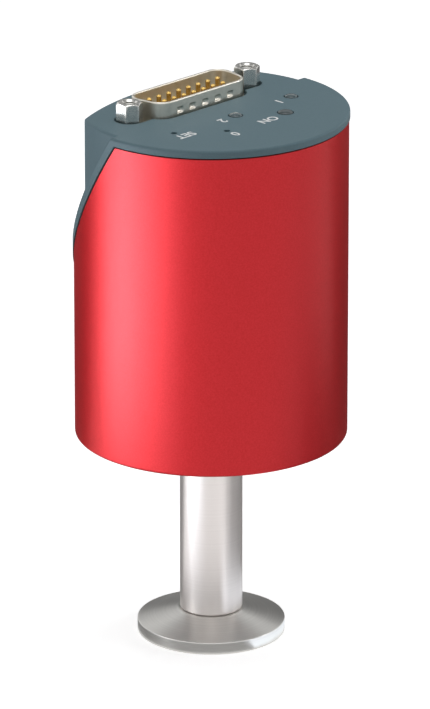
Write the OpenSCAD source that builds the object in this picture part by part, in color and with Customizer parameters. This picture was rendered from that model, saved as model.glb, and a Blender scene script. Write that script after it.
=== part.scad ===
// Thermal-conductivity (Pirani) vacuum gauge: a clamped small flange on a bare tube, a round
// metal sleeve cut off on a slant behind, and a moulded cap with a 15-pin plug and its lights.
// Millimetres. Origin at the centre of the sealing face, +Z up the tube, +X along the plug,
// +Y towards the slanted rear of the cap.

/* [Vacuum flange] */
// Outside diameter of the clamped flange
flange_d = 30; // [28:0.5:34]
// Height of the straight rim below the clamping cone
flange_rim_h = 2.6; // [2:0.1:3.4]
// Slope of the clamping cone
flange_cone_angle = 15; // [12:0.5:18]
// Diameter of the recess for the centring ring
recess_d = 17.2; // [16:0.1:19]
// Depth of the recess for the centring ring
recess_depth = 3; // [2:0.1:3.4]

/* [Inlet tube] */
// Outside diameter of the inlet tube
tube_d = 12.7; // [12:0.1:14]
// Wall of the inlet tube
tube_wall = 1.25; // [1:0.05:1.6]
// Step from the tube down to the spigot that is welded into the flange
spigot_step = 0.45; // [0.3:0.05:0.6]
// Rounding of the tube's shoulder above the flange
shoulder_round = 0.5; // [0.2:0.1:0.8]

/* [Housing sleeve] */
// Outside diameter of the sleeve
body_d = 55; // [53:0.5:60]
// Height of the sleeve's lower edge above the sealing face
body_bottom = 43; // [36:0.5:60]
// Height of the sleeve at the front
body_h = 66.35; // [60:0.5:80]
// Wall of the sleeve
sleeve_wall = 1.8; // [1.4:0.1:2.2]
// Rounding of the sleeve's lower outer edge
sleeve_edge = 0.6; // [0.2:0.1:1]
// Angle of the slanted rear cut below the horizontal
slant_angle = 55.5; // [48:0.5:58]
// Place along Y where the slanted cut begins
slant_start = -0.5; // [-1.5:0.1:1]

/* [Top cap] */
// How far the cap's lip stands out past the sleeve
cap_overhang = 0.2; // [0:0.05:0.6]
// Height of the cap's lip
lip_h = 1.55; // [1.2:0.05:2]
// Gap between the lip and the sleeve
lip_gap = 0.3; // [0.2:0.05:0.5]
// Thickness of the cap's top plate
cap_plate = 2.4; // [2:0.1:3]
// Depth of the skirt inside the sleeve
skirt_depth = 5.3; // [4:0.1:6]
// Wall of the skirt and of the raised core
skirt_wall = 1.4; // [1.2:0.1:1.8]
// How far the raised core stands back from the lip
core_inset = 1.8; // [1.4:0.1:2.4]
// Radius of the core's curved rear face
rear_arc_r = 56; // [48:1:70]
// Place of the curved rear face on the middle line
rear_y = 17.9; // [17.4:0.1:19]
// Wall behind the curved rear face
rear_wall = 2; // [1.4:0.1:2.4]
// Rounding of the cap's top edges
cap_edge = 0.5; // [0.2:0.1:0.8]

/* [Plug] */
// Place of the plug's middle line along Y
plug_y = 6.3; // [6:0.1:7]
// Inside width of the plug's shell at its wide row
shell_w = 25.25; // [24.8:0.05:25.6]
// Inside depth of the plug's shell
shell_h = 8.36; // [8:0.02:8.6]
// Sheet thickness of the plug's shell
shell_t = 0.5; // [0.4:0.05:0.6]
// Height of the shell and the jack posts above the cap
shell_rise = 3.7; // [3:0.1:5]
// Distance from the shell's end to the axis of a jack post
post_margin = 4.035; // [3.9:0.005:4.3]
// Size across the flats of a jack post
post_af = 5; // [4.6:0.1:5.2]
// Diameter of the threaded hole in a jack post
post_hole_d = 2.5; // [2:0.1:2.9]
// Pitch of the pins along a row
pin_pitch = 2.77; // [2.7:0.01:2.8]
// Distance between the two rows of pins
row_gap = 2.84; // [2.6:0.02:3]
// Diameter of a pin
pin_d = 1; // [0.8:0.05:1.1]
// Gap between the shell and the cap's opening
opening_gap = 0.8; // [0.4:0.1:1]

/* [Lights and buttons] */
// Sideways place of the outer light and the set-point button
outer_x = 16.6; // [15.6:0.1:17]
// Place of that outer pair along Y
outer_y = -6.1; // [-6.8:0.1:-5.9]
// Sideways place of the running light and the zero button
inner_x = 8.3; // [7.5:0.1:9.5]
// Place of that inner pair along Y
inner_y = -12.5; // [-13.5:0.1:-11.5]
// Place of the middle light along Y
middle_y = -6.8; // [-7.5:0.1:-6]
// Diameter of the two set-point lights
light_d = 3; // [2.4:0.1:3.4]
// Diameter of the running light
run_light_d = 3.4; // [2.6:0.1:3.8]
// Diameter of the pinholes over the buttons
pinhole_d = 1.3; // [1:0.1:1.8]
// Travel of a button
button_travel = 0.3; // [0.2:0.05:0.5]

/* [Inside] */
// Thickness of the base plate
plate_t = 4; // [3.6:0.1:5]
// How far the base plate sits up inside the sleeve
plate_recess = 1.2; // [0.6:0.1:2]
// Length of the spacers under the sensor board
lower_spacer_h = 17.8; // [16:0.2:22]
// Thickness of the circuit boards
board_t = 1.6; // [1.2:0.1:2]
// Gap between the connector board and the cap's top plate
board_gap = 6.8; // [6.4:0.1:8]
// Distance of the fixing screws in from the cap's skirt
fixing_inset = 2.75; // [2.5:0.05:3]
// Angle of the side fixings behind the middle line
fixing_angle = 8; // [7:0.5:9]
// Size across the flats of a spacer
spacer_af = 4.4; // [4:0.1:4.6]
// Diameter of the fixing screws and studs
screw_d = 2.4; // [2:0.1:2.5]
// Height of the collar that holds the tube on the base plate
collar_h = 6; // [5:0.5:8]
// Length of the tube above that collar
tube_stub = 4; // [3.5:0.5:6]
// Length of the heated filament
filament_l = 26; // [20:1:30]

/* [Hidden] */

$fn = 72;
arc_steps = 8;

// Clearances
seat_gap = 0.03;
slide_gap = 0.06;
drop_gap = 0.2;
overcut = 1;

// Flange and tube
flange_r = flange_d / 2;
recess_r = recess_d / 2;
tube_r = tube_d / 2;
tube_in_r = tube_r - tube_wall;
spigot_r = tube_r - spigot_step;
hub_ledge = 0.3;
hub_r = tube_r + hub_ledge;
hub_z = flange_rim_h + (flange_r - hub_r) * tan(flange_cone_angle);
rim_edge = 0.2;
shoulder_sweep = 60;

// Sleeve and base plate
body_r = body_d / 2;
sleeve_in_r = body_r - sleeve_wall;
seat_ledge = 0.6;
plate_bore_r = sleeve_in_r + seat_ledge;
sleeve_top = body_bottom + body_h;
plate_z = body_bottom + plate_recess;
plate_top = plate_z + plate_t;

// Cap
lip_r = body_r + cap_overhang;
lip_rise = lip_gap + lip_h;
cap_top = sleeve_top + lip_rise;
plate_under = cap_top - cap_plate;
skirt_gap = 0.15;
skirt_r = sleeve_in_r - skirt_gap;
skirt_in_r = skirt_r - skirt_wall;
core_r = lip_r - core_inset;
across_reach = lip_r + overcut;
nub_r = 0.6;
nub_angles = [-166, -14];

// Fixings: three places shared by screws, spacers, boards and cap
fixing_r = skirt_in_r - fixing_inset;
fixing_angles = [-90, -fixing_angle, 180 + fixing_angle];
screw_r = screw_d / 2;
thread_r = screw_r + seat_gap;
pass_gap = 0.35;
pass_r = screw_r + pass_gap;
screw_bite = 6;
collar_bite = 4;
bite_room = 0.4;
stud_room = 1;
head_step = 0.9;
head_r = screw_r + head_step;
head_h = 1.5;
head_sink = 1.8;
socket_r = 0.75;
socket_depth = 0.8;
boss_r = 2.9;
insert_r = 2;
insert_h = 5;

// Boards
sensor_board_z = plate_top + lower_spacer_h;
sensor_board_top = sensor_board_z + board_t;
connector_board_top = plate_under - board_gap;
connector_board_z = connector_board_top - board_t;
board_r = skirt_in_r - drop_gap;

// Tube end with its sealed sensor
collar_r = 11.2;
collar_screw_r = 8.8;
collar_screw_angles = [30, 150, 270];
tube_top = plate_top + collar_h + tube_stub;
header_t = 2.6;
header_z = tube_top - header_t;
header_r = tube_r - tube_wall / 2;
feed_r = 0.35;
feed_x = 2.2;
feed_tail = 1.2;
seal_r = 1.1;
foot_drop = 5;
foot_over = 0.6;
short_foot_z = header_z - foot_drop;
long_foot_z = short_foot_z - filament_l;
filament_r = 0.1;
filament_end = 0.5;

// Plug
post_x = shell_w / 2 + post_margin;
shell_corner_r = 2.6;
shell_slope = 10;
shell_top = cap_top + shell_rise;
shell_flange_t = 0.8;
shell_flange_z = plate_under - shell_flange_t;
flange_end = 2.9;
flange_side = 2.1;
face_rise = 1.6;
block_side = 1;
pin_below_rim = 1;
pin_tail_r = 0.35;
pin_tail_out = 1.5;
wide_row = 8;
post_hole_depth = 4.6;
post_chamfer = 0.35;
post_stud_r = 1;
shell_hole_r = 1.6;
post_stud_l = 4.5;
post_clear_r = 3.05;
standoff_r = 2.6;
dimple_r = 0.8;
dimple_depth = 0.22;
dimple_count = 5;
dimple_pitch = 3.6;
dimple_below_rim = 1.9;
dimple_z = shell_top - dimple_below_rim;

// Lights: name, place and diameter of each
LIGHTS = ["light_1", "light_2", "run_light"];
light_at = [[outer_x, outer_y], [0, middle_y], [inner_x, inner_y]];
light_size = [light_d, light_d, run_light_d];
light_dome = 0.45;
light_shoulder = 0.55;
shoulder_h = 1;
source_w = 2;
source_h = 1.2;

// Buttons: name and place of each
BUTTONS = ["zero", "set_point"];
button_at = [[-inner_x, inner_y], [-outer_x, outer_y]];
button_gap = 0.3;
button_top = plate_under - button_gap;
button_r = 0.85;
keeper_r = 1.25;
keeper_h = 0.6;
switch_w = 3.5;
switch_h = 3.4;
switch_lid = 0.6;
spring_room = 1.04;
switch_floor = switch_h - switch_lid - slide_gap - keeper_h - button_travel - spring_room;
switch_top = connector_board_top + switch_h;
keeper_top = switch_top - switch_lid - slide_gap;

// Board link
ribbon_y = 11.5;
ribbon_w = 12;
ribbon_t = 0.3;
socket_w = 14;
socket_d = 3.4;
socket_h = 3;
ribbon_bite = 2.4;

// Chip
chip_w = 9;
chip_h = 1.4;
chip_at = [-9, -7];
chip_mark_in = 1.5;
chip_mark_r = 0.45;

// Colours as the object shows them
RED = [0.62, 0.10, 0.12];
GREY = [0.39, 0.47, 0.50];
STEEL = [0.72, 0.72, 0.71];
NICKEL = [0.66, 0.64, 0.60];
GOLD = [0.83, 0.66, 0.30];
BRASS = [0.78, 0.63, 0.30];
ALUMINIUM = [0.70, 0.71, 0.72];
BOARD = [0.10, 0.32, 0.20];
BLACK = [0.10, 0.10, 0.11];
GLASS = [0.55, 0.62, 0.60];
CLEAR = [0.86, 0.88, 0.86];
AMBER = [0.80, 0.62, 0.22];

// Points along an arc
function arc(centre, r, from, to) =
    [for (i = [0:arc_steps]) let (a = from + (to - from) * i / arc_steps)
        [centre[0] + r * cos(a), centre[1] + r * sin(a)]];

// D-shaped outline, grown by g, with its wide side towards +Y
function d_outline(g) =
    let (r = shell_corner_r, y = shell_h / 2 - r, a = shell_slope,
         wide = shell_w / 2 - r, narrow = wide - 2 * y * tan(a))
    concat(arc([wide, y], r + g, -a, 90), arc([-wide, y], r + g, 90, 180 + a),
           arc([-narrow, -y], r + g, 180 + a, 270), arc([narrow, -y], r + g, 270, 360 - a));

// Where the folded line between the flat top and the slant bends, raised by d
function fold_y(d) = slant_start + d * tan(slant_angle / 2);

// Everything below the sleeve's folded upper edge, raised by d square to its own face
module under_fold(d) {
    far = across_reach;
    drop = tan(slant_angle) * (far - fold_y(d));
    rotate([90, 0, 90])
        linear_extrude(height = 2 * far, center = true)
            polygon([[-far, 0], [far, 0], [far, sleeve_top + d - drop],
                     [fold_y(d), sleeve_top + d], [-far, sleeve_top + d]]);
}

// Upright disc from z = 0 with a rounded top edge
module round_top_disc(r, top, edge) {
    rotate_extrude()
        polygon(concat([[0, 0], [r, 0]], arc([r - edge, top - edge], edge, 0, 90), [[0, top]]));
}

// The curved rear limit of the raised core, moved inwards by wall
module rear_arc(wall, top, edge) {
    translate([0, rear_y - rear_arc_r, 0])
        round_top_disc(rear_arc_r - wall, top, edge);
}

// Children at each of the three fixings
module at_fixings() {
    for (a = fixing_angles)
        rotate(a) translate([fixing_r, 0, 0]) children();
}

// Children at each collar screw
module at_collar_screws() {
    for (a = collar_screw_angles)
        rotate(a) translate([collar_screw_r, 0, 0]) children();
}

// Children at each place of a plug pin, the wide row to the rear
module at_plug_pins() {
    for (row = [0, 1], i = [0:wide_row - 1 - row])
        translate([(i - (wide_row - 1 - row) / 2) * pin_pitch, plug_y + (0.5 - row) * row_gap, 0])
            children();
}

// Socket-head screw that points up, with its bearing face at z
module screw_up(z, length) {
    difference() {
        union() {
            translate([0, 0, z - head_h]) cylinder(r = head_r, h = head_h);
            translate([0, 0, z]) cylinder(r = screw_r, h = length);
        }
        translate([0, 0, z - head_h - overcut])
            cylinder(r = socket_r, h = socket_depth + overcut, $fn = 6);
    }
}

// Hexagonal bar between two heights
module hex_bar(af, z, top) {
    translate([0, 0, z]) cylinder(d = af / cos(30), h = top - z, $fn = 6);
}

// Turned flange: recess below, straight rim, clamping cone and a hole for the tube's spigot
module kf_flange() {
    bore_r = spigot_r + seat_gap;
    color(STEEL) rotate_extrude()
        polygon(concat([[recess_r, 0]],
                       arc([flange_r - rim_edge, rim_edge], rim_edge, -90, 0),
                       arc([flange_r - rim_edge, flange_rim_h - rim_edge], rim_edge,
                           0, 90 - flange_cone_angle),
                       [[hub_r, hub_z], [bore_r, hub_z],
                        [bore_r, recess_depth], [recess_r, recess_depth]]));
}

// Drawn tube with a stepped spigot below and a seat for the sensor header above
module inlet_tube() {
    header_seat_r = header_r + seat_gap;
    color(STEEL) rotate_extrude()
        polygon(concat([[tube_in_r, recess_depth], [spigot_r, recess_depth], [spigot_r, hub_z]],
                       arc([tube_r - shoulder_round, hub_z + shoulder_round], shoulder_round,
                           -shoulder_sweep, 0),
                       [[tube_r, tube_top], [header_seat_r, tube_top],
                        [header_seat_r, header_z], [tube_in_r, header_z]]));
}

// Ring fixed round the tube, which the base plate is screwed to
module mounting_collar() {
    color(STEEL) difference() {
        translate([0, 0, plate_top]) cylinder(r = collar_r, h = collar_h);
        translate([0, 0, plate_top - overcut])
            cylinder(r = tube_r + seat_gap, h = collar_h + 2 * overcut);
        at_collar_screws() translate([0, 0, plate_top - overcut])
            cylinder(r = thread_r, h = overcut + collar_bite);
    }
}

module collar_screws() {
    seat = plate_z + head_sink;
    color(STEEL) at_collar_screws() screw_up(seat, plate_top - seat + collar_bite - bite_room);
}

// Metal disc that closes the tube, with two holes for the glass seals
module sensor_header() {
    color(STEEL) difference() {
        translate([0, 0, header_z]) cylinder(r = header_r, h = header_t);
        for (side = [-1, 1]) translate([side * feed_x, 0, header_z - overcut])
            cylinder(r = seal_r + seat_gap, h = header_t + 2 * overcut);
    }
}

module glass_seals() {
    color(GLASS) for (side = [-1, 1]) translate([side * feed_x, 0, header_z])
        difference() {
            cylinder(r = seal_r, h = header_t);
            translate([0, 0, -overcut]) cylinder(r = feed_r + seat_gap, h = header_t + 2 * overcut);
        }
}

// Straight pin with a foot bent towards the tube's axis and an eye for the filament
module feedthrough_pin(side, foot_z) {
    color(NICKEL) difference() {
        union() {
            translate([side * feed_x, 0, foot_z])
                cylinder(r = feed_r, h = sensor_board_top + feed_tail - foot_z);
            translate([side * feed_x, 0, foot_z]) sphere(r = feed_r);
            translate([side * feed_x, 0, foot_z]) rotate([0, -side * 90, 0])
                cylinder(r = feed_r, h = feed_x + foot_over);
        }
        translate([0, 0, foot_z - overcut]) cylinder(r = filament_r + seat_gap, h = 2 * overcut);
    }
}

module feedthrough_pin_long() feedthrough_pin(-1, long_foot_z);

module feedthrough_pin_short() feedthrough_pin(1, short_foot_z);

module filament() {
    color(STEEL) translate([0, 0, long_foot_z - filament_end])
        cylinder(r = filament_r, h = filament_l + 2 * filament_end);
}

// Disc that closes the sleeve below and bears up on its inner ledge
module base_plate() {
    color(ALUMINIUM) difference() {
        translate([0, 0, plate_z]) cylinder(r = plate_bore_r - 2 * seat_gap, h = plate_t);
        translate([0, 0, plate_z - overcut])
            cylinder(r = tube_r + drop_gap, h = plate_t + 2 * overcut);
        at_fixings() screw_seat();
        at_collar_screws() screw_seat();
    }
}

// Counterbore and clearance hole for one screw in the base plate
module screw_seat() {
    translate([0, 0, plate_z - overcut]) cylinder(r = head_r + drop_gap, h = head_sink + overcut);
    translate([0, 0, plate_z]) cylinder(r = screw_r + drop_gap, h = plate_t + overcut);
}

module base_screws() {
    seat = plate_z + head_sink;
    color(STEEL) at_fixings() screw_up(seat, plate_top - seat + screw_bite - stud_room);
}

module lower_spacers() {
    color(BRASS) at_fixings() difference() {
        hex_bar(spacer_af, plate_top, sensor_board_z);
        translate([0, 0, plate_top - overcut]) cylinder(r = thread_r, h = screw_bite + overcut);
        translate([0, 0, sensor_board_z - screw_bite])
            cylinder(r = thread_r, h = screw_bite + overcut);
    }
}

// Round board that measures the filament
module sensor_board() {
    color(BOARD) difference() {
        translate([0, 0, sensor_board_z]) cylinder(r = board_r, h = board_t);
        at_fixings() translate([0, 0, sensor_board_z - overcut])
            cylinder(r = pass_r, h = board_t + 2 * overcut);
        for (side = [-1, 1]) translate([side * feed_x, 0, sensor_board_z - overcut])
            cylinder(r = feed_r + seat_gap, h = board_t + 2 * overcut);
    }
}

module processor_chip() {
    color(BLACK) translate([chip_at[0] - chip_w / 2, chip_at[1] - chip_w / 2, sensor_board_top])
        difference() {
            cube([chip_w, chip_w, chip_h]);
            translate([chip_mark_in, chip_mark_in, chip_h]) sphere(r = chip_mark_r);
        }
}

// Two sockets that hold the ends of the ribbon between the boards
module ribbon_sockets() {
    color(BLACK) for (z = [sensor_board_top, connector_board_z - socket_h]) difference() {
        translate([-socket_w / 2, ribbon_y - socket_d / 2, z]) cube([socket_w, socket_d, socket_h]);
        translate([-ribbon_w / 2 - drop_gap, ribbon_y - ribbon_t / 2 - seat_gap,
                   z == sensor_board_top ? z + socket_h - ribbon_bite : z - overcut])
            cube([ribbon_w + 2 * drop_gap, ribbon_t + 2 * seat_gap, ribbon_bite + overcut]);
    }
}

module board_ribbon() {
    low = sensor_board_top + socket_h - ribbon_bite;
    high = connector_board_z - socket_h + ribbon_bite;
    color(GREY) translate([-ribbon_w / 2, ribbon_y - ribbon_t / 2, low])
        cube([ribbon_w, ribbon_t, high - low]);
}

// Long spacers with a stud at each end, through both boards
module upper_spacers() {
    low = screw_bite - stud_room;
    high = insert_h - bite_room;
    color(BRASS) at_fixings() {
        hex_bar(spacer_af, sensor_board_top, connector_board_z);
        translate([0, 0, sensor_board_z - low])
            cylinder(r = screw_r, h = connector_board_top + high - sensor_board_z + low);
    }
}

// Board that carries the plug, the lights and the buttons, shaped to the cap's core
module connector_board() {
    color(BOARD) difference() {
        intersection() {
            translate([0, 0, connector_board_z]) cylinder(r = board_r, h = board_t);
            rear_arc(rear_wall + 2 * drop_gap, sleeve_top, cap_edge);
        }
        at_fixings() translate([0, 0, connector_board_z - overcut])
            cylinder(r = pass_r, h = board_t + 2 * overcut);
        at_plug_pins() translate([0, 0, connector_board_z - overcut])
            cylinder(r = pin_tail_r + slide_gap, h = board_t + 2 * overcut);
    }
}

// Turned sleeve, cut off on a slant at the rear, with a seat for the base plate below
module housing_sleeve() {
    color(RED) intersection() {
        rotate_extrude()
            polygon(concat([[plate_bore_r, body_bottom]],
                           arc([body_r - sleeve_edge, body_bottom + sleeve_edge], sleeve_edge,
                               -90, 0),
                           [[body_r, sleeve_top], [sleeve_in_r, sleeve_top],
                            [sleeve_in_r, plate_top], [plate_bore_r, plate_top]]));
        under_fold(0);
    }
}

// Moulded cap: folded lid with a lip, raised core with a curved rear, and a skirt inside
module top_cap() {
    color(GREY) {
        difference() {
            union() {
                cap_lid();
                cap_core();
            }
            cap_hollow();
            plug_opening();
            for (i = [0:len(LIGHTS) - 1])
                translate([light_at[i][0], light_at[i][1], 0])
                    cylinder(d = light_size[i], h = cap_top + overcut);
            for (place = button_at)
                translate([place[0], place[1], 0]) cylinder(d = pinhole_d, h = cap_top + overcut);
        }
        at_fixings() cap_boss();
        for (a = nub_angles)
            rotate(a) translate([body_r - sleeve_wall / 2, 0, sleeve_top])
                cylinder(r = nub_r, h = lip_gap + lip_h / 2);
    }
}

// Lid that follows the folded edge, with the lip outside and the skirt's plug inside
module cap_lid() {
    difference() {
        intersection() {
            round_top_disc(lip_r, cap_top, cap_edge);
            under_fold(lip_rise);
        }
        under_fold(lip_gap);
    }
    difference() {
        intersection() {
            cylinder(r = skirt_r, h = cap_top - cap_edge);
            under_fold(lip_rise - cap_edge);
        }
        under_fold(-skirt_depth);
    }
}

// Core that stands above the slanted part of the lid
module cap_core() {
    difference() {
        intersection() {
            round_top_disc(core_r, cap_top, cap_edge);
            rear_arc(0, cap_top, cap_edge);
        }
        under_fold(lip_gap);
    }
}

// Room inside the cap: under the folded lid and up inside the core
module cap_hollow() {
    intersection() {
        cylinder(r = skirt_in_r, h = cap_top);
        under_fold(lip_rise - cap_plate);
    }
    intersection() {
        cylinder(r = skirt_in_r, h = plate_under);
        translate([0, rear_y - rear_arc_r, 0]) cylinder(r = rear_arc_r - rear_wall, h = plate_under);
    }
}

// Opening for the plug's shell and the two jack posts
module plug_opening() {
    translate([0, plug_y, 0]) {
        linear_extrude(height = cap_top + overcut) polygon(d_outline(shell_t + opening_gap));
        for (side = [-1, 1])
            translate([side * post_x, 0, 0]) cylinder(r = post_clear_r, h = cap_top + overcut);
        translate([-post_x, -post_clear_r, 0])
            cube([2 * post_x, 2 * post_clear_r, cap_top + overcut]);
    }
}

// Boss down to the connector board, bored for a brass insert
module cap_boss() {
    difference() {
        translate([0, 0, connector_board_top])
            cylinder(r = boss_r, h = board_gap + cap_plate / 2);
        translate([0, 0, connector_board_top - overcut])
            cylinder(r = insert_r + seat_gap, h = insert_h + overcut);
    }
}

module cap_inserts() {
    color(BRASS) at_fixings() translate([0, 0, connector_board_top]) difference() {
        cylinder(r = insert_r, h = insert_h);
        translate([0, 0, -overcut]) cylinder(r = thread_r, h = insert_h + 2 * overcut);
    }
}

// Pressed sheet shell with its flange and the dimples along its long sides
module connector_shell() {
    flange_w = 2 * (post_x + flange_end);
    flange_h = shell_h + 2 * flange_side;
    color(NICKEL) translate([0, plug_y, 0]) difference() {
        union() {
            translate([-flange_w / 2, -flange_h / 2, shell_flange_z])
                cube([flange_w, flange_h, shell_flange_t]);
            translate([0, 0, shell_flange_z])
                linear_extrude(height = shell_top - shell_flange_z) polygon(d_outline(shell_t));
        }
        translate([0, 0, shell_flange_z - overcut])
            linear_extrude(height = shell_top - shell_flange_z + 2 * overcut)
                polygon(d_outline(0));
        for (side = [-1, 1]) {
            translate([side * post_x, 0, shell_flange_z - overcut])
                cylinder(r = shell_hole_r, h = shell_flange_t + 2 * overcut);
            for (i = [0:dimple_count - 1])
                translate([(i - (dimple_count - 1) / 2) * dimple_pitch,
                           side * (shell_h / 2 + shell_t - dimple_depth + dimple_r), dimple_z])
                    sphere(r = dimple_r);
        }
    }
}

// Moulded block under the shell, with a raised face inside it
module connector_insulator() {
    color(BLACK) difference() {
        translate([0, plug_y, 0]) {
            translate([0, 0, connector_board_top])
                linear_extrude(height = shell_flange_z - connector_board_top)
                    polygon(d_outline(block_side));
            translate([0, 0, connector_board_top])
                linear_extrude(height = plate_under + face_rise - connector_board_top)
                    polygon(d_outline(-slide_gap));
        }
        at_plug_pins() translate([0, 0, connector_board_top - overcut])
            cylinder(d = pin_d + 2 * seat_gap, h = board_gap + face_rise + 2 * overcut);
    }
}

// Round-nosed contact pins with tails through the board
module connector_pins() {
    r = pin_d / 2;
    nose = shell_top - pin_below_rim - r;
    color(GOLD) at_plug_pins() {
        translate([0, 0, connector_board_top]) cylinder(r = r, h = nose - connector_board_top);
        translate([0, 0, nose]) sphere(r = r);
        translate([0, 0, connector_board_z - pin_tail_out])
            cylinder(r = pin_tail_r, h = board_t + pin_tail_out + r);
    }
}

// Threaded sleeves between the board and the shell's flange
module connector_standoffs() {
    color(NICKEL) for (side = [-1, 1]) translate([side * post_x, plug_y, connector_board_top])
        difference() {
            cylinder(r = standoff_r, h = shell_flange_z - connector_board_top);
            translate([0, 0, -overcut])
                cylinder(r = post_stud_r + seat_gap,
                         h = shell_flange_z - connector_board_top + 2 * overcut);
        }
}

// Hexagonal jack post with a chamfered top, a threaded hole and a stud below
module jack_post(side) {
    corner_r = post_af / 2 / cos(30);
    color(NICKEL) translate([side * post_x, plug_y, 0]) difference() {
        union() {
            intersection() {
                hex_bar(post_af, plate_under, shell_top);
                rotate_extrude()
                    polygon([[0, plate_under], [corner_r, plate_under],
                             [corner_r, shell_top - post_chamfer],
                             [post_af / 2 - post_chamfer / 2, shell_top], [0, shell_top]]);
            }
            translate([0, 0, shell_flange_z - post_stud_l])
                cylinder(r = post_stud_r, h = post_stud_l + shell_flange_t + overcut);
        }
        translate([0, 0, shell_top - post_hole_depth])
            cylinder(d = post_hole_d, h = post_hole_depth + overcut);
    }
}

// Clear rod from its light source to the cap's face, with a shoulder under the top plate
module light_pipe(i) {
    r = light_size[i] / 2 - slide_gap;
    foot = connector_board_top + source_h;
    dome_r = (r * r + light_dome * light_dome) / (2 * light_dome);
    dome_a = asin(r / dome_r);
    color(i < 2 ? CLEAR : AMBER) translate([light_at[i][0], light_at[i][1], 0]) rotate_extrude()
        polygon(concat([[0, foot], [r, foot], [r, plate_under - shoulder_h],
                        [r + light_shoulder, plate_under - shoulder_h],
                        [r + light_shoulder, plate_under], [r, plate_under]],
                       arc([0, cap_top + light_dome - dome_r], dome_r, 90 - dome_a, 90)));
}

module light_source(i) {
    color(CLEAR) translate([light_at[i][0] - source_w / 2, light_at[i][1] - source_w / 2,
                            connector_board_top])
        cube([source_w, source_w, source_h]);
}

// Push switch on the board, hollow round the button's keeper
module switch_body(i) {
    color(BLACK) translate([button_at[i][0], button_at[i][1], connector_board_top]) difference() {
        translate([-switch_w / 2, -switch_w / 2, 0]) cube([switch_w, switch_w, switch_h]);
        translate([0, 0, switch_floor])
            cylinder(r = keeper_r + slide_gap, h = switch_h - switch_lid - switch_floor);
        translate([0, 0, switch_floor]) cylinder(r = button_r + slide_gap, h = switch_h);
    }
}

// Button under a pinhole, held in its switch by a keeper and pressed down by its travel
module button(i) {
    color(CLEAR) translate([button_at[i][0], button_at[i][1], 0]) {
        translate([0, 0, keeper_top - keeper_h]) cylinder(r = keeper_r, h = keeper_h);
        translate([0, 0, keeper_top - keeper_h])
            cylinder(r = button_r, h = button_top - keeper_top + keeper_h);
    }
}

kf_flange();
inlet_tube();
mounting_collar();
collar_screws();
sensor_header();
glass_seals();
feedthrough_pin_long();
feedthrough_pin_short();
filament();
base_plate();
base_screws();
lower_spacers();
sensor_board();
processor_chip();
ribbon_sockets();
board_ribbon();
upper_spacers();
connector_board();
housing_sleeve();
top_cap();
cap_inserts();
connector_shell();
connector_insulator();
connector_pins();
connector_standoffs();
for (i = [0:1])
    jack_post(2 * i - 1);
for (i = [0:len(LIGHTS) - 1]) {
    light_pipe(i);
    light_source(i);
}
for (i = [0:len(BUTTONS) - 1]) {
    switch_body(i);
    button(i);
}
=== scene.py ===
"""Looks of a small vacuum gauge: red anodised sleeve, grey moulded cap, steel tube and flange."""

import logging
import math
from dataclasses import dataclass
from enum import Enum

import bmesh
import bpy
from mathutils import Matrix, Vector


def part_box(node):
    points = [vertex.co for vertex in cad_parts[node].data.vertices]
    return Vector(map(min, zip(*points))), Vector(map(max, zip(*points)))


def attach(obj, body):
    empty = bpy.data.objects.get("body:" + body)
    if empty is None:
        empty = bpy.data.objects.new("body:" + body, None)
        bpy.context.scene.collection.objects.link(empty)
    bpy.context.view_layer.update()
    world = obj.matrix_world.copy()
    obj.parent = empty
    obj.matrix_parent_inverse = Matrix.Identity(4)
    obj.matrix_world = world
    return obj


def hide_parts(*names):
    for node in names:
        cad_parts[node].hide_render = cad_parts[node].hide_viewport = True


LOG = logging.getLogger("gauge")
MM = 0.001
BODY = "gauge"

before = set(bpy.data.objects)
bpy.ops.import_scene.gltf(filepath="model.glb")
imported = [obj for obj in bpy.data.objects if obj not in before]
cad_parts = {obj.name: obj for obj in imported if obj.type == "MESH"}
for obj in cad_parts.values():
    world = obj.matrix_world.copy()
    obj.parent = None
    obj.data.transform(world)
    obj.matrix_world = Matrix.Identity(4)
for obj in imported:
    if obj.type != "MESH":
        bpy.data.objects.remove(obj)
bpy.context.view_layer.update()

# Thickness of the plug's flange, which the jack posts stand on
SHELL_FLANGE_MM = 0.8

# Values of the meshes: the turn of a hexagon's side, two small distances and half of a unit grid
HEX_TURN = math.pi / 3
HAIR_MM = 1e-6
WELD_MM = 1e-4
HALF_UNIT = 0.5

# Values that every finish shares
MOTTLE_GRAINS = 2.0
MOTTLE_DETAIL = 3.0
FINE_DETAIL = 4.0
COLOUR_UP_TO = 0.3
TINT_FROM = 0.7
ROUGHNESS_SPREAD = 0.06
ROUGHNESS_LEAST = 0.02
BUMP_RISE_MM = 0.05
EDGE_SAMPLES = 6
QUARTER_TURN = 0.25

Rgb = tuple[float, float, float]
PlaceMm = tuple[float, float, float]


class Grain(Enum):
    """Direction of the fine structure of a finish."""

    EVEN = "even"
    TURNED_TUBE = "turned_tube"
    TURNED_FACE = "turned_face"


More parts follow.
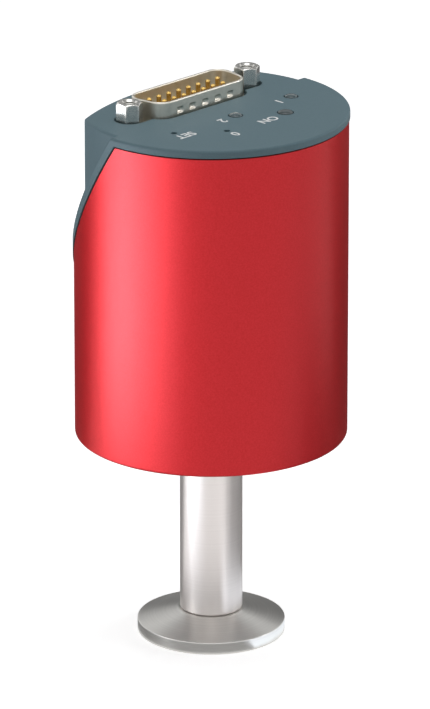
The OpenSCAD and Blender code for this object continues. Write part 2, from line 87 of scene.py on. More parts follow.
@dataclass(frozen=True)
class Finish:
    """One surface finish, written as a node material.

    Attributes:
        name: Name of the material.
        colour: Linear base colour.
        tint: Linear colour that the mottling mixes in.
        metallic: Metal share of the surface.
        roughness: Mean roughness.
        grain: Direction of the fine structure.
        grain_mm: Size of that structure in millimetres.
        bump: Depth of the structure's bump, from 0 to 1.
        anisotropy: Stretch of the highlights round the axis.
        coat: Weight of a clear coat.
        coat_roughness: Roughness of that coat.
        specular: Level of the mirror reflection of a surface that isn't metal.
        edge_tint: Colour of the reflections at grazing angles.
        transmission: Share of light that passes through.
        edge_mm: Radius of the softened edges in the shading.
    """

    name: str
    colour: Rgb
    tint: Rgb
    metallic: float = 0.0
    roughness: float = 0.5
    grain: Grain = Grain.EVEN
    grain_mm: float = 0.4
    bump: float = 0.1
    anisotropy: float = 0.0
    coat: float = 0.0
    coat_roughness: float = 0.3
    specular: float = 0.5
    edge_tint: Rgb = (1.0, 1.0, 1.0)
    transmission: float = 0.0
    edge_mm: float = 0.12

    def material(self) -> bpy.types.Material:
        """Build the node material.

        Returns:
            The finished material.
        """
        mat = bpy.data.materials.new(self.name)
        mat.use_nodes = True
        tree = mat.node_tree
        shader = tree.nodes["Principled BSDF"]
        shader.inputs["Metallic"].default_value = self.metallic
        shader.inputs["Anisotropic"].default_value = self.anisotropy
        shader.inputs["Coat Weight"].default_value = self.coat
        shader.inputs["Coat Roughness"].default_value = self.coat_roughness
        shader.inputs["Specular IOR Level"].default_value = self.specular
        shader.inputs["Specular Tint"].default_value = (*self.edge_tint, 1.0)
        shader.inputs["Transmission Weight"].default_value = self.transmission
        place = self._grain_coordinates(tree)
        mottle = self._noise(tree, place, self.grain_mm * MOTTLE_GRAINS, MOTTLE_DETAIL)
        fine = self._noise(tree, place, self.grain_mm, FINE_DETAIL)
        self._mix_colour(tree, mottle, shader)
        self._vary_roughness(tree, fine, shader)
        self._bump(tree, fine, shader)
        if self.anisotropy:
            shader.inputs["Anisotropic Rotation"].default_value = QUARTER_TURN
            tangent = tree.nodes.new("ShaderNodeTangent")
            tangent.direction_type = "RADIAL"
            tangent.axis = "Z"
            tree.links.new(tangent.outputs["Tangent"], shader.inputs["Tangent"])
        return mat

    def _grain_coordinates(self, tree: bpy.types.NodeTree) -> bpy.types.NodeSocket:
        """Choose the coordinates of the grain, so that turned lines run round the axis.

        Args:
            tree: Node tree of the material.

        Returns:
            Socket with the coordinates that the noise reads.
        """
        coords = tree.nodes.new("ShaderNodeTexCoord")
        if self.grain is Grain.EVEN:
            return coords.outputs["Object"]
        split = tree.nodes.new("ShaderNodeSeparateXYZ")
        tree.links.new(coords.outputs["Object"], split.inputs[0])
        join = tree.nodes.new("ShaderNodeCombineXYZ")
        tree.links.new(split.outputs["Z"], join.inputs["Z"])
        if self.grain is Grain.TURNED_FACE:
            flat = tree.nodes.new("ShaderNodeCombineXYZ")
            tree.links.new(split.outputs["X"], flat.inputs["X"])
            tree.links.new(split.outputs["Y"], flat.inputs["Y"])
            radius = tree.nodes.new("ShaderNodeVectorMath")
            radius.operation = "LENGTH"
            tree.links.new(flat.outputs[0], radius.inputs[0])
            tree.links.new(radius.outputs["Value"], join.inputs["X"])
        return join.outputs[0]

    @staticmethod
    def _noise(tree: bpy.types.NodeTree, place: bpy.types.NodeSocket, size_mm: float,
               detail: float) -> bpy.types.Node:
        """Add a noise texture on the given coordinates.

        Args:
            tree: Node tree of the material.
            place: Socket with the coordinates.
            size_mm: Size of the noise's largest spots.
            detail: Number of finer layers.

        Returns:
            The noise node.
        """
        noise = tree.nodes.new("ShaderNodeTexNoise")
        noise.inputs["Scale"].default_value = 1.0 / (size_mm * MM)
        noise.inputs["Detail"].default_value = detail
        tree.links.new(place, noise.inputs["Vector"])
        return noise

    def _mix_colour(self, tree: bpy.types.NodeTree, noise: bpy.types.Node, shader: bpy.types.Node) -> None:
        """Drive the base colour between the colour and its tint.

        Args:
            tree: Node tree of the material.
            noise: Noise of the mottling.
            shader: Shader of the material.
        """
        ramp = tree.nodes.new("ShaderNodeValToRGB")
        ramp.color_ramp.elements[0].position = COLOUR_UP_TO
        ramp.color_ramp.elements[1].position = TINT_FROM
        ramp.color_ramp.elements[0].color = (*self.colour, 1.0)
        ramp.color_ramp.elements[1].color = (*self.tint, 1.0)
        tree.links.new(noise.outputs["Fac"], ramp.inputs["Fac"])
        tree.links.new(ramp.outputs["Color"], shader.inputs["Base Color"])

    def _vary_roughness(self, tree: bpy.types.NodeTree, noise: bpy.types.Node,
                        shader: bpy.types.Node) -> None:
        """Let the roughness wander a little round its mean.

        Args:
            tree: Node tree of the material.
            noise: Noise of the fine structure.
            shader: Shader of the material.
        """
        span = tree.nodes.new("ShaderNodeMapRange")
        span.inputs["To Min"].default_value = max(self.roughness - ROUGHNESS_SPREAD, ROUGHNESS_LEAST)
        span.inputs["To Max"].default_value = min(self.roughness + ROUGHNESS_SPREAD, 1.0)
        tree.links.new(noise.outputs["Fac"], span.inputs["Value"])
        tree.links.new(span.outputs["Result"], shader.inputs["Roughness"])

    def _bump(self, tree: bpy.types.NodeTree, noise: bpy.types.Node, shader: bpy.types.Node) -> None:
        """Add the fine bump on top of softly rounded edges.

        Args:
            tree: Node tree of the material.
            noise: Noise of the fine structure.
            shader: Shader of the material.
        """
        soft = tree.nodes.new("ShaderNodeBevel")
        soft.samples = EDGE_SAMPLES
        soft.inputs["Radius"].default_value = self.edge_mm * MM
        bump = tree.nodes.new("ShaderNodeBump")
        bump.inputs["Strength"].default_value = self.bump
        bump.inputs["Distance"].default_value = BUMP_RISE_MM * MM
        tree.links.new(noise.outputs["Fac"], bump.inputs["Height"])
        tree.links.new(soft.outputs["Normal"], bump.inputs["Normal"])
        tree.links.new(bump.outputs["Normal"], shader.inputs["Normal"])


RED_ANODISED = Finish("red_anodised", (0.42, 0.005, 0.008), (0.49, 0.012, 0.018), metallic=0.9,
                      roughness=0.46, grain_mm=0.16, bump=0.35, coat=0.42, coat_roughness=0.32,
                      edge_tint=(1.0, 0.3, 0.3), edge_mm=0.2)
GREY_PLASTIC = Finish("grey_plastic", (0.106, 0.172, 0.200), (0.115, 0.184, 0.212), roughness=0.52,
                      grain_mm=0.22, bump=0.22, specular=0.22, edge_mm=0.22)
TUBE_STEEL = Finish("tube_steel", (0.68, 0.64, 0.62), (0.72, 0.68, 0.66), metallic=1.0, roughness=0.36,
                    grain=Grain.TURNED_TUBE, grain_mm=0.2, bump=0.03, anisotropy=0.5, edge_mm=0.5)
FLANGE_STEEL = Finish("flange_steel", (0.62, 0.61, 0.585), (0.68, 0.67, 0.645), metallic=1.0,
                      roughness=0.35, grain=Grain.TURNED_FACE, grain_mm=0.2, bump=0.06, anisotropy=0.6,
                      edge_mm=0.15)
NICKEL = Finish("nickel_plate", (0.72, 0.69, 0.605), (0.78, 0.75, 0.67), metallic=1.0, roughness=0.34,
                grain_mm=0.5, edge_mm=0.15)
POST_NICKEL = Finish("post_nickel", (0.62, 0.61, 0.58), (0.72, 0.71, 0.68), metallic=1.0, roughness=0.24)
GOLD = Finish("gold_plate", (0.72, 0.47, 0.13), (0.80, 0.55, 0.20), metallic=1.0, roughness=0.24,
              bump=0.05, edge_mm=0.05)
BRASS = Finish("bare_brass", (0.62, 0.44, 0.16), (0.70, 0.52, 0.22), metallic=1.0, roughness=0.3,
               grain_mm=0.5)
ALUMINIUM = Finish("bare_aluminium", (0.60, 0.61, 0.62), (0.68, 0.69, 0.70), metallic=1.0, roughness=0.32,
                   grain=Grain.TURNED_FACE, grain_mm=0.3, bump=0.15, anisotropy=0.4)
BOARD_GREEN = Finish("board_green", (0.012, 0.085, 0.035), (0.016, 0.105, 0.045), roughness=0.35,
                     grain_mm=0.8, coat=0.3)
BLACK_PLASTIC = Finish("black_plastic", (0.012, 0.012, 0.013), (0.018, 0.018, 0.019), grain_mm=0.25)
INSULATOR = Finish("insulator_plastic", (0.52, 0.49, 0.42), (0.57, 0.54, 0.46), roughness=0.55,
                   grain_mm=0.25)
SEAL_GLASS = Finish("seal_glass", (0.35, 0.42, 0.40), (0.40, 0.47, 0.45), roughness=0.15, transmission=0.6)
CLEAR_PIPE = Finish("clear_pipe", (0.072, 0.116, 0.130), (0.084, 0.130, 0.144), roughness=0.14, coat=0.6,
                    coat_roughness=0.08, transmission=0.15, edge_mm=0.1)
SMOKED_PIPE = Finish("smoked_pipe", (0.062, 0.086, 0.091), (0.072, 0.098, 0.103), roughness=0.3, coat=0.3,
                     transmission=0.15, edge_mm=0.1)
PRINT_WHITE = Finish("print_white", (0.78, 0.79, 0.79), (0.86, 0.87, 0.87), grain_mm=0.3, bump=0.05,
                     edge_mm=0.01)

NODE_FINISH: dict[str, Finish] = {
    "kf_flange": FLANGE_STEEL, "inlet_tube": TUBE_STEEL, "mounting_collar": ALUMINIUM,
    "collar_screws": POST_NICKEL, "sensor_header": POST_NICKEL, "glass_seals": SEAL_GLASS,
    "feedthrough_pin_long": NICKEL, "feedthrough_pin_short": NICKEL, "filament": POST_NICKEL,
    "base_plate": ALUMINIUM, "base_screws": POST_NICKEL, "lower_spacers": BRASS,
    "sensor_board": BOARD_GREEN, "processor_chip": BLACK_PLASTIC, "ribbon_sockets": BLACK_PLASTIC,
    "board_ribbon": GREY_PLASTIC, "upper_spacers": BRASS, "connector_board": BOARD_GREEN,
    "housing_sleeve": RED_ANODISED, "top_cap": GREY_PLASTIC, "cap_inserts": BRASS,
    "connector_shell": NICKEL, "connector_insulator": INSULATOR, "connector_pins": GOLD,
    "connector_standoffs": NICKEL, "jack_post_1": POST_NICKEL, "jack_post_2": POST_NICKEL,
    "light_1_pipe": CLEAR_PIPE, "light_2_pipe": CLEAR_PIPE, "run_light_pipe": SMOKED_PIPE,
    "light_1_source": PRINT_WHITE, "light_2_source": PRINT_WHITE, "run_light_source": PRINT_WHITE,
    "zero_switch_body": BLACK_PLASTIC, "set_point_switch_body": BLACK_PLASTIC,
    "zero_button": BLACK_PLASTIC, "set_point_button": BLACK_PLASTIC,
}


class FinishStore:
    """Keeps one material for each finish."""

    def __init__(self) -> None:
        """Start with no materials."""
        self._made: dict[str, bpy.types.Material] = {}

    def get(self, finish: Finish) -> bpy.types.Material:
        """Find the finish's material, or make it on first use.

        Args:
            finish: Finish to look up.

        Returns:
            The material of that finish.
        """
        if finish.name not in self._made:
            self._made[finish.name] = finish.material()
        return self._made[finish.name]

    def dress(self, obj: bpy.types.Object, finish: Finish) -> None:
        """Give an object one finish in its only slot."""
        obj.data.materials.clear()
        obj.data.materials.append(self.get(finish))


def add_object(name: str, data: bpy.types.ID) -> bpy.types.Object:
    """Put a new object into the scene.

    Args:
        name: Name of the object.
        data: Its mesh, text, lamp or camera.

    Returns:
        The new object at the origin.
    """
    obj = bpy.data.objects.new(name, data)
    bpy.context.scene.collection.objects.link(obj)
    return obj


def add_mesh(name: str, bm: bmesh.types.BMesh) -> bpy.types.Object:
    """Turn a bmesh into an object of the scene.

    Args:
        name: Name of the object.
        bm: Finished bmesh, which is freed.

    Returns:
        The new object at the origin.
    """
    mesh = bpy.data.meshes.new(name)
    bm.to_mesh(mesh)
    bm.free()
    return add_object(name, mesh)


def mesh_piece(name: str, bm: bmesh.types.BMesh, smooth: bool = True) -> bpy.types.Object:
    """Turn a bmesh into a piece that rides on the gauge.

    Args:
        name: Name of the piece.
        bm: Finished bmesh, which is freed.
        smooth: Whether the faces are shaded smooth.

    Returns:
        The new object at the origin.
    """
    for face in bm.faces:
        face.smooth = smooth
    obj = add_mesh(name, bm)
    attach(obj, BODY)
    LOG.info("piece %s: %d faces", name, len(obj.data.polygons))
    return obj


def sharp_edges(obj: bpy.types.Object, angle_deg: float) -> None:
    """Keep edges steeper than an angle crisp in the smooth shading.

    Args:
        obj: Piece to mark.
        angle_deg: Angle above which an edge is sharp.
    """
    bm = bmesh.new()
    bm.from_mesh(obj.data)
    limit = math.radians(angle_deg)
    for edge in bm.edges:
        edge.smooth = len(edge.link_faces) == 2 and edge.calc_face_angle() < limit
    bm.to_mesh(obj.data)
    bm.free()


class RingLoft:
    """Builds a skin ring by ring, each ring extruded from the one before."""

    def __init__(self, rings: list[list[Vector]]) -> None:
        """Start with a circle, move its points to the first ring and extrude the others from it.

        Args:
            rings: Points of each ring, all in the same order and number.
        """
        self.bm = bmesh.new()
        bmesh.ops.create_circle(self.bm, cap_ends=False, segments=len(rings[0]), radius=1.0)
        self._slot = self.bm.verts.layers.int.new("slot")
        ordered = sorted(self.bm.verts, key=lambda v: math.atan2(v.co.y, v.co.x) % math.tau)
        for index, vert in enumerate(ordered):
            vert[self._slot] = index
            vert.co = rings[0][index]
        self._edges = list(self.bm.edges)
        for points in rings[1:]:
            self._extrude(points)

    def _extrude(self, points: list[Vector]) -> None:
        """Extrude the last ring to the given points.

        Args:
            points: Points of the new ring.
        """
        made = bmesh.ops.extrude_edge_only(self.bm, edges=self._edges)["geom"]
        fresh = {g for g in made if isinstance(g, bmesh.types.BMVert)}
        for vert in fresh:
            vert.co = points[vert[self._slot]]
        self._edges = [g for g in made if isinstance(g, bmesh.types.BMEdge) and set(g.verts) <= fresh]

    def weld(self) -> None:
        """Join the last ring to the first where they lie on each other."""
        bmesh.ops.remove_doubles(self.bm, verts=self.bm.verts, dist=WELD_MM * MM)

    def close(self) -> bmesh.types.BMesh:
        """Fill the ends that are still open and turn the faces outwards.

        Returns:
            The closed bmesh.
        """
        open_edges = [e for e in self.bm.edges if e.is_boundary]
        if open_edges:
            bmesh.ops.holes_fill(self.bm, edges=open_edges)
        bmesh.ops.recalc_face_normals(self.bm, faces=self.bm.faces)
        return self.bm


@dataclass
class JackPosts:
    """Two hexagonal posts with a turned chamfer and a countersunk, threaded hole.

    Attributes:
        store: Materials of the scene.
        af_mm: Size across the flats.
        rim_inset_mm: How far the rim of the top lies inside the flats.
        chamfer_drops_mm: Depths of the chamfer's rings below the top.
        chamfer_slope: Growth of the chamfer's radius for its depth.
        hole_r_mm: Inner radius of the thread.
        sink_mm: Width of the countersink round the hole.
        sink_slope: Depth of the countersink for its width.
        sink_edge_mm: How far the countersink ends outside the thread.
        lead_mm: Gap between the countersink and the first groove.
        thread_mm: Depth of the thread's grooves.
        pitch_mm: Pitch of the thread.
        turns: Number of grooves that show.
        segments: Points round a post.
        crisp_deg: Angle above which an edge stays crisp.
    """

    store: FinishStore
    af_mm: float = 4.7
    rim_inset_mm: float = 0.12
    chamfer_drops_mm: tuple[float, ...] = (0.36, 0.28, 0.2, 0.12, 0.05)
    chamfer_slope: float = 1.6
    hole_r_mm: float = 1.16
    sink_mm: float = 0.42
    sink_slope: float = 0.8
    sink_edge_mm: float = 0.02
    lead_mm: float = 0.1
    thread_mm: float = 0.2
    pitch_mm: float = 0.5
    turns: int = 7
    segments: int = 72
    crisp_deg: float = 25.0

    def build(self) -> None:
        """Make both posts in the place of their nodes, standing on the plug's flange."""
        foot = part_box("connector_shell")[0].z + SHELL_FLANGE_MM * MM
        for index in (1, 2):
            node = f"jack_post_{index}"
            low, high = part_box(node)
            piece = self._post(f"post_{index}", (low + high) / 2, foot, high.z)
            self.store.dress(piece, POST_NICKEL)
            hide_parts(node)

    def _flat(self, angle: float) -> float:
        """Radius of the hexagon in millimetres at an angle."""
        return self.af_mm / 2 / math.cos((angle + HEX_TURN / 2) % HEX_TURN - HEX_TURN / 2)

    def _ring(self, middle: Vector, z: float, limit_mm: float, hexagonal: bool) -> list[Vector]:
        """Place the points of one ring, on the hexagon or on a circle.

        Args:
            middle: A point on the post's axis.
            z: Height of the ring.
            limit_mm: Largest radius of the ring.
            hexagonal: Whether the hexagon cuts the circle.

        Returns:
            The points in order.
        """
        ring = []
        for index in range(self.segments):
            angle = math.tau * index / self.segments
            radius = (min(self._flat(angle), limit_mm) if hexagonal else limit_mm) * MM
            ring.append(Vector((middle.x + radius * math.cos(angle), middle.y + radius * math.sin(angle), z)))
        return ring

    def _post(self, name: str, middle: Vector, foot: float, top: float) -> bpy.types.Object:
        """Loft one post from its foot over its chamfer down into its hole.

        Args:
            name: Name of the piece.
            middle: A point on the post's axis.
            foot: Height of the post's foot.
            top: Height of the post's top.

        Returns:
            The finished post.
        """
        corner = self.af_mm / 2 / math.cos(HEX_TURN / 2)
        rim = self.af_mm / 2 - self.rim_inset_mm
        sink_depth = self.sink_mm * self.sink_slope
        rows = [(foot, corner, True)]
        for drop in self.chamfer_drops_mm:
            rows.append((top - drop * MM, rim + drop * self.chamfer_slope, True))
        rows.append((top, rim, True))
        rows.append((top, self.hole_r_mm + self.sink_mm, False))
        rows.append((top - sink_depth * MM, self.hole_r_mm + self.sink_edge_mm, False))
        for turn in range(self.turns):
            start = top - (sink_depth + self.lead_mm + turn * self.pitch_mm) * MM
            rows.append((start, self.hole_r_mm, False))
            rows.append((start - self.pitch_mm / 2 * MM, self.hole_r_mm + self.thread_mm, False))
        loft = RingLoft([self._ring(middle, *row) for row in rows])
        piece = mesh_piece(name, loft.close())
        sharp_edges(piece, self.crisp_deg)
        return piece


@dataclass
class PlugShell:
    """Pressed sheet shell of the plug, with a rolled rim and dimples along its long sides.

    Heights in its methods are millimetres above the foot of the shell.

    Attributes:
        store: Materials of the scene.
        width_mm: Inner width at the wide side.
        depth_mm: Inner depth.
        wall_mm: Thickness of the sheet.
        corner_mm: Inner radius of the corners.
        slope_deg: Slant of the short sides.
        foot_mm: Radius of the bend between wall and flange.
        rim_drop_mm: How far the rolled rim lies below the top of its node.
        dimple_rise_mm: Height of the dimples' middles.
        dimple_pitch_mm: Spacing of the dimples.
        dimple_count: Dimples on each long side.
        dimple_size_mm: Half width and half height of a dimple.
        dimple_depth_mm: Depth of a dimple.
        dimple_power: Squareness of a dimple, where 2 is an ellipse.
        inside_steps: Rings up the inside.
        rim_steps: Rings over the rim.
        outside_steps: Rings down the outside.
        foot_steps: Rings round the bend at the foot.
        corner_steps: Points round a corner.
        side_steps: Points along a long and a short side.
        crisp_deg: Angle above which an edge stays crisp.
    """

    store: FinishStore
    width_mm: float = 25.25
    depth_mm: float = 8.36
    wall_mm: float = 0.5
    corner_mm: float = 2.6
    slope_deg: float = 10.0
    foot_mm: float = 0.5
    rim_drop_mm: float = 0.5
    dimple_rise_mm: float = 4.15
    dimple_pitch_mm: float = 3.55
    dimple_count: int = 5
    dimple_size_mm: tuple[float, float] = (0.8, 0.66)
    dimple_depth_mm: float = 0.4
    dimple_power: int = 4
    inside_steps: int = 30
    rim_steps: int = 8
    outside_steps: int = 40
    foot_steps: int = 4
    corner_steps: int = 12
    side_steps: tuple[int, int] = (110, 4)
    crisp_deg: float = 40.0

    def build(self) -> None:
        """Loft the shell in the place of its node."""
        low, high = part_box("connector_shell")
        foot = Vector(((low.x + high.x) / 2, (low.y + high.y) / 2, low.z))
        half = ((high.x - low.x) / 2 / MM, (high.y - low.y) / 2 / MM)
        rows = self._rows((high.z - low.z) / MM - self.rim_drop_mm)
        rings = [self._ring(foot, grow, z) for grow, z in rows]
        rings += [self._flange_ring(foot, half, z) for z in (SHELL_FLANGE_MM, 0.0)]
        rings.append(self._ring(foot, *rows[0]))
        loft = RingLoft(rings)
        loft.weld()
        piece = mesh_piece("plug_shell", loft.close())
        sharp_edges(piece, self.crisp_deg)
        self.store.dress(piece, NICKEL)
        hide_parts("connector_shell")

    def _rows(self, top: float) -> list[tuple[float, float]]:
        """List the rings up the inside, over the rim and down the outside.

        Args:
            top: Height of the rim.

        Returns:
            Growth and height of each ring.
        """
        bead = self.wall_mm / 2
        shoulder = top - bead
        rows = [(0.0, shoulder * i / self.inside_steps) for i in range(self.inside_steps + 1)]
        for i in range(1, self.rim_steps):
            turn = math.pi * (1 - i / self.rim_steps)
            rows.append((bead + bead * math.cos(turn), shoulder + bead * math.sin(turn)))
        bend = SHELL_FLANGE_MM + self.foot_mm
        for i in range(self.outside_steps + 1):
            rows.append((self.wall_mm, shoulder - (shoulder - bend) * i / self.outside_steps))
        for i in range(1, self.foot_steps + 1):
            turn = math.pi / 2 * i / self.foot_steps
            grow = self.wall_mm + self.foot_mm * (1 - math.cos(turn))
            rows.append((grow, bend - self.foot_mm * math.sin(turn)))
        return rows

    def _outline(self, grow: float) -> list[tuple[float, float]]:
        """Draw the D-shaped outline, with an arc at each corner and points along each side.

        Args:
            grow: How far the outline lies outside the inner wall.

        Returns:
            The points in order.
        """
        y = self.depth_mm / 2 - self.corner_mm
        wide = self.width_mm / 2 - self.corner_mm
        narrow = wide - 2 * y * math.tan(math.radians(self.slope_deg))
        slope, radius = self.slope_deg, self.corner_mm + grow
        corners = ((wide, y, -slope, 90.0), (-wide, y, 90.0, 180.0 + slope),
                   (-narrow, -y, 180.0 + slope, 270.0), (narrow, -y, 270.0, 360.0 - slope))
        arcs = []
        for cx, cy, start, end in corners:
            step = (end - start) / self.corner_steps
            turns = [math.radians(start + step * i) for i in range(self.corner_steps + 1)]
            arcs.append([(cx + radius * math.cos(t), cy + radius * math.sin(t)) for t in turns])
        points: list[tuple[float, float]] = []
        for index, arc in enumerate(arcs):
            along = self.side_steps[index % 2]
            (x0, y0), (x1, y1) = arc[-1], arcs[(index + 1) % len(arcs)][0]
            points += arc
            points += [(x0 + (x1 - x0) * i / along, y0 + (y1 - y0) * i / along) for i in range(1, along)]
        return points

    def _dent(self, x: float, z: float) -> float:
        """Work out how deep the dimples are at a place on a long side.

        Args:
            x: Place along the side, from its middle.
            z: Height of the place.

        Returns:
            Depth in millimetres.
        """
        first = -(self.dimple_count - 1) / 2 * self.dimple_pitch_mm
        wide, tall = self.dimple_size_mm
        up = ((z - self.dimple_rise_mm) / tall) ** self.dimple_power
        depth = 0.0
        for i in range(self.dimple_count):
            far = ((x - first - i * self.dimple_pitch_mm) / wide) ** self.dimple_power + up
            depth = max(depth, self.dimple_depth_mm * max(0.0, 1.0 - far))
        return depth

    def _ring(self, foot: Vector, grow: float, z: float) -> list[Vector]:
        """Place the points of one ring of the wall, pressed in at the dimples.

        Args:
            foot: Middle of the shell's foot.
            grow: How far the ring lies outside the inner wall.
            z: Height of the ring.

        Returns:
            The points in order.
        """
        ring = []
        straight = self.depth_mm / 2 + grow - HAIR_MM
        for x, y in self._outline(grow):
            pressed = y
            if grow > 0 and abs(y) >= straight:
                pressed = y - math.copysign(self._dent(x, z), y)
            ring.append(foot + Vector((x, pressed, z)) * MM)
        return ring

    def _flange_ring(self, foot: Vector, half: tuple[float, float], z: float) -> list[Vector]:
        """Place the points of one ring of the flange's outer edge.

        Args:
            foot: Middle of the shell's foot.
            half: Half width and half depth of the flange.
            z: Height of the ring.

        Returns:
            The points in order.
        """
        ring = []
        for x, y in self._outline(0.0):
            scale = min(half[0] / max(abs(x), HAIR_MM), half[1] / max(abs(y), HAIR_MM))
            ring.append(foot + Vector((x * scale, y * scale, z)) * MM)
        return ring


@dataclass
class LightDomes:
    """Clear rods of the three lights, whose domes stand in narrow rings of shadow.

    Attributes:
        store: Materials of the scene.
        plate_mm: Thickness of the cap's top plate.
        shoulder_mm: Width of the shoulder under that plate.
        shoulder_rise_mm: Height of the shoulder.
        ring_mm: Width that a dome gives up to the ring of shadow.
        dome_steps: Rings of a dome.
        segments: Points round a rod.
        crisp_deg: Angle above which an edge stays crisp.
    """

    store: FinishStore
    plate_mm: float = 2.4
    shoulder_mm: float = 0.55
    shoulder_rise_mm: float = 1.0
    ring_mm: float = 0.16
    dome_steps: int = 10
    segments: int = 64
    crisp_deg: float = 50.0

    def build(self) -> None:
        """Make every rod in the place of its node."""
        for light in ("light_1", "light_2", "run_light"):
            node = f"{light}_pipe"
            piece = self._rod(f"{light}_dome", node)
            self.store.dress(piece, NODE_FINISH[node])
            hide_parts(node)

    def _rod(self, name: str, node: str) -> bpy.types.Object:
        """Loft one rod from its foot over its shoulder to the top of its dome.

        Args:
            name: Name of the piece.
            node: Node that the rod stands for.

        Returns:
            The finished rod.
        """
        low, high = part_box(node)
        middle = (low + high) / 2
        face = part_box("top_cap")[1].z
        under = face - self.plate_mm * MM
        wide = (high.x - low.x) / 2
        rod = wide - self.shoulder_mm * MM
        slim = rod - self.ring_mm * MM
        seat = under - self.shoulder_rise_mm * MM
        rows = [(low.z, rod), (seat, rod), (seat, wide), (under, wide), (under, slim)]
        for step in range(self.dome_steps):
            turn = math.pi / 2 * step / self.dome_steps
            rows.append((face + (high.z - face) * math.sin(turn), slim * math.cos(turn)))
        angles = [math.tau * i / self.segments for i in range(self.segments)]
        loft = RingLoft([[Vector((middle.x + r * math.cos(a), middle.y + r * math.sin(a), z)) for a in angles]
                         for z, r in rows])
        piece = mesh_piece(name, loft.close())
        sharp_edges(piece, self.crisp_deg)
        return piece


@dataclass(frozen=True)
class Mark:
    """One printed mark.

    Attributes:
        name: Name of the piece.
        words: Number or word to print.
        x_mm: Place of its middle along the plug.
        y_mm: Place of its middle across the plug.
    """

    name: str
    words: str
    x_mm: float
    y_mm: float


@dataclass
class PanelPrint:
    """Plain white marks printed on the cap beside the lights and the pinholes.

    Attributes:
        store: Materials of the scene.
        height_mm: Height of a mark.
        capital_share: Share of the font's size that a capital letter takes.
        bold_mm: How far the strokes are thickened.
        film_mm: Thickness of the print.
        marks: The marks and their places on the cap.
    """

    store: FinishStore
    height_mm: float = 2.1
    capital_share: float = 0.7
    bold_mm: float = 0.06
    film_mm: float = 0.03
    marks: tuple[Mark, ...] = (
        Mark("mark_light_1", "1", 12.4, -6.7),
        Mark("mark_light_2", "2", -4.3, -7.3),
        Mark("mark_run", "ON", 2.4, -13.4),
        Mark("mark_zero", "0", -8.5, -14.9),
        Mark("mark_set", "SET", -16.0, -8.6),
    )

    def build(self) -> None:
        """Make every mark and lay it on the cap's top face."""
        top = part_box("top_cap")[1].z
        for mark in self.marks:
            piece = self._mark(mark.name, mark.words, Vector((mark.x_mm * MM, mark.y_mm * MM, top)))
            self.store.dress(piece, PRINT_WHITE)

    def _mark(self, name: str, words: str, place: Vector) -> bpy.types.Object:
        """Make one mark, turned so that it reads from the rear.

        Args:
            name: Name of the piece.
            words: Number or word to print.
            place: Middle of the mark on the cap.

        Returns:
            The mark as a thin mesh.
        """
        curve = bpy.data.curves.new(name + "_curve", "FONT")
        curve.body = words
        curve.align_x = "CENTER"
        curve.align_y = "CENTER"
        curve.size = self.height_mm * MM / self.capital_share
        curve.offset = self.bold_mm * MM
        curve.extrude = self.film_mm * MM / 2
        source = add_object(name + "_source", curve)
        bpy.context.view_layer.update()
        mesh = bpy.data.meshes.new_from_object(source.evaluated_get(bpy.context.evaluated_depsgraph_get()))
        bpy.data.objects.remove(source)
        bm = bmesh.new()
        bm.from_mesh(mesh)
        lift = Vector((0.0, 0.0, self.film_mm * MM / 2))
        turn = Matrix.Translation(place + lift) @ Matrix.Rotation(math.pi, 4, "Z")
        bmesh.ops.transform(bm, matrix=turn, verts=bm.verts)
        return mesh_piece(name, bm, smooth=False)


@dataclass(frozen=True)
class Lamp:
    """One softbox.

    Attributes:
        name: Name of the lamp.
        place_mm: Place of its middle.
        power: Power in watts.
        width_mm: Width of its face.
        height_mm: Height of its face.
    """

    name: str
    place_mm: PlaceMm
    power: float
    width_mm: float
    height_mm: float


@dataclass(frozen=True)
class Wedge:
    """One flat sector round the gauge's axis, grey or glowing, that only reflections show.

    Attributes:
        name: Name of the sector.
        from_deg: First angle about +Z.
        to_deg: Last angle about +Z.
        near_mm: Inner radius.
        far_mm: Outer radius.
        shade: Grey of the sector.
        glow_from: Strength of its own light at the first angle.
        glow_to: Strength of its own light at the last angle.
        lift_mm: Height above the sealing face.
    """

    name: str
    from_deg: float
    to_deg: float
    near_mm: float
    far_mm: float
    shade: float
    glow_from: float = 0.0
    glow_to: float = 0.0
    lift_mm: float = 0.2


@dataclass(frozen=True)
class Card:
    """One standing card that faces the gauge's axis and that only reflections show.

    Attributes:
        name: Name of the card.
        place_mm: Place of its middle.
        width_mm: Width of the card.
        height_mm: Height of the card.
        shade: Grey of the card.
    """

    name: str
    place_mm: PlaceMm
    width_mm: float
    height_mm: float
    shade: float = 0.2


